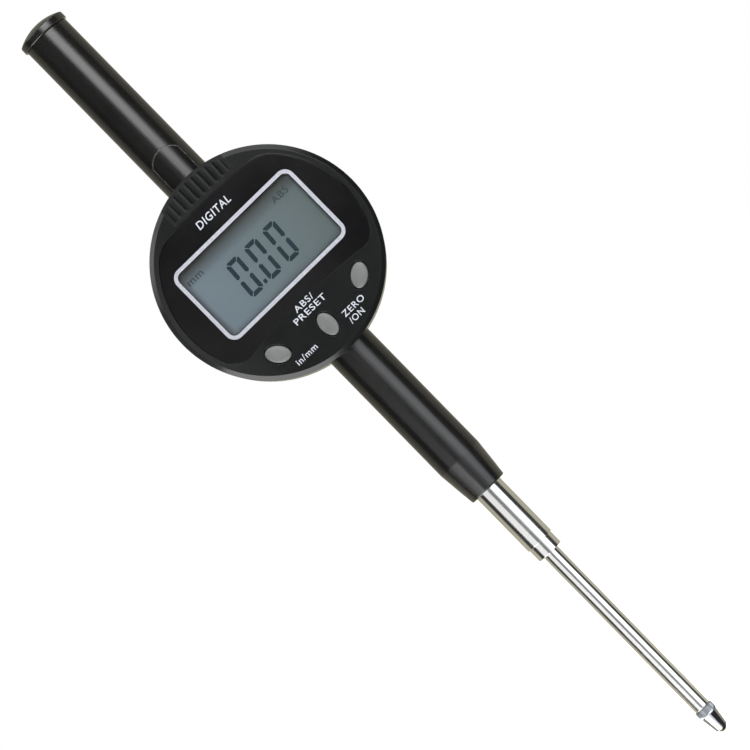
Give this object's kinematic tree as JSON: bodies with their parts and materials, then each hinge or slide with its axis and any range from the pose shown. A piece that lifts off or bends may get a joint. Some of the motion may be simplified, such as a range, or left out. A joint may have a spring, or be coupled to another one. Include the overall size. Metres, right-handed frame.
{
  "type": "digital dial indicator",
  "caption": "Electronic dial indicator: round display body with oval buttons on a long guide tube, 8 mm stem, sprung measuring spindle with a ball contact point, and a lug back.",
  "frame": {"origin": "on the spindle's axis at mid-length of the 8 mm stem, where a stand clamps it", "axes": "+Z along the spindle from the contact point to the cap, display facing -Y, +X to the right of the display"},
  "size_m": [0.0596, 0.0351, 0.2506],
  "materials": {
    "case_plastic": "fine matt moulded",
    "window": "glossy, printed from behind",
    "display_glass": "grey reflective display",
    "button_plastic": "satin",
    "black_metal": "black anodised satin",
    "polished_steel": "ground and polished",
    "steel": "plated",
    "aluminium": "machined",
    "brass": "turned",
    "board": "solder resist",
    "rubber": "matt"
  },
  "bodies": {
    "housing": {"front_cover": "case_plastic", "display_lens": "window", "lcd_panel": "display_glass", "lcd_holder": "case_plastic", "zebra_strip": "rubber", "circuit_board": "board", "chip": "case_plastic", "unit_switch": "case_plastic", "preset_switch": "case_plastic", "zero_switch": "case_plastic", "battery": "steel", "battery_contact_plus": "brass", "battery_contact_minus": "brass", "rear_case": "case_plastic", "lug_back": "black_metal", "case_screw_1": "steel", "case_screw_2": "steel", "case_screw_3": "steel", "case_screw_4": "steel", "back_screw_1": "steel", "back_screw_2": "steel", "back_screw_3": "steel", "back_screw_4": "steel", "upper_tube": "black_metal", "tube_slot_cover": "black_metal", "lower_tube": "black_metal", "stem": "polished_steel", "upper_bush": "brass", "lower_bush": "brass", "bumper": "rubber", "guide_rail": "brass", "spring_anchor": "brass", "return_spring": "steel"},
    "measuring_spindle": {"spindle": "polished_steel", "contact_point": "polished_steel", "contact_ball": "polished_steel", "scale_carrier": "aluminium", "scale_strip": "board", "carrier_screw_1": "steel", "carrier_screw_2": "steel", "guide_pin": "steel"},
    "unit_key": {"unit_button": "button_plastic"},
    "preset_key": {"preset_button": "button_plastic"},
    "zero_key": {"zero_button": "button_plastic"},
    "battery_door": {"battery_cover": "case_plastic"},
    "end_cap": {"tube_cap": "black_metal"}
  },
  "joints": [
    {"name": "spindle_slide", "type": "slide", "parent": "housing", "child": "measuring_spindle", "axis": [0, 0, 1], "range_m": [0, 0.0508], "stiffness_N_per_m": 25, "springref_m": -0.05, "deforming": ["return_spring"]},
    {"name": "unit_button_press", "type": "slide", "parent": "housing", "child": "unit_key", "axis": [0, 1, 0], "range_m": [0, 0.0005], "stiffness_N_per_m": 2000, "springref_m": -0.0004},
    {"name": "preset_button_press", "type": "slide", "parent": "housing", "child": "preset_key", "axis": [0, 1, 0], "range_m": [0, 0.0005], "stiffness_N_per_m": 2000, "springref_m": -0.0004},
    {"name": "zero_button_press", "type": "slide", "parent": "housing", "child": "zero_key", "axis": [0, 1, 0], "range_m": [0, 0.0005], "stiffness_N_per_m": 2000, "springref_m": -0.0004},
    {"name": "battery_cover_slide", "type": "slide", "parent": "housing", "child": "battery_door", "axis": [0, 0, 1], "range_m": [0, 0.01]},
    {"name": "cap_pull", "type": "slide", "parent": "housing", "child": "end_cap", "axis": [0, 0, 1], "range_m": [0, 0.01]}
  ]
}
